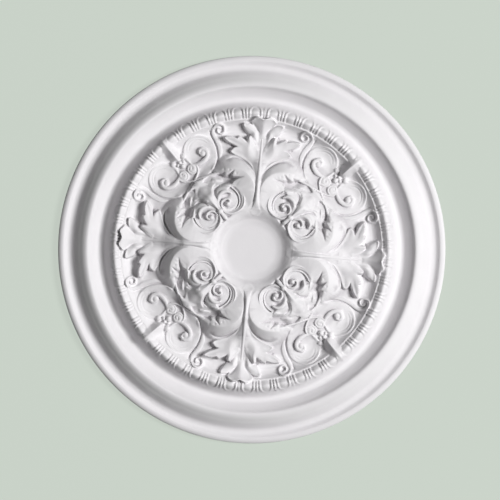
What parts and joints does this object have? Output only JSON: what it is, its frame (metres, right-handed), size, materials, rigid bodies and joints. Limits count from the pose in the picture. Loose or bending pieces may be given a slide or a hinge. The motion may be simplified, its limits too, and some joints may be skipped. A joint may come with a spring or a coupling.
{
  "type": "ceiling rose",
  "caption": "Round plaster ceiling rose with a moulded ring, an egg-and-dart band, acanthus leaves and scrolls around a plain shallow centre dish for a light.",
  "frame": {"origin": "centre of the flat back that goes against the ceiling", "axes": "+Z out of the carved face, which points down into the room in use; the main leaves run along X and Y. It is modelled lying on its back, carved face up"},
  "size_m": [0.61, 0.61, 0.0628],
  "materials": {
    "plaster": "matt white gypsum plaster, cast and sealed"
  },
  "bodies": {
    "root": {"ceiling_rose": "plaster"}
  },
  "joints": []
}
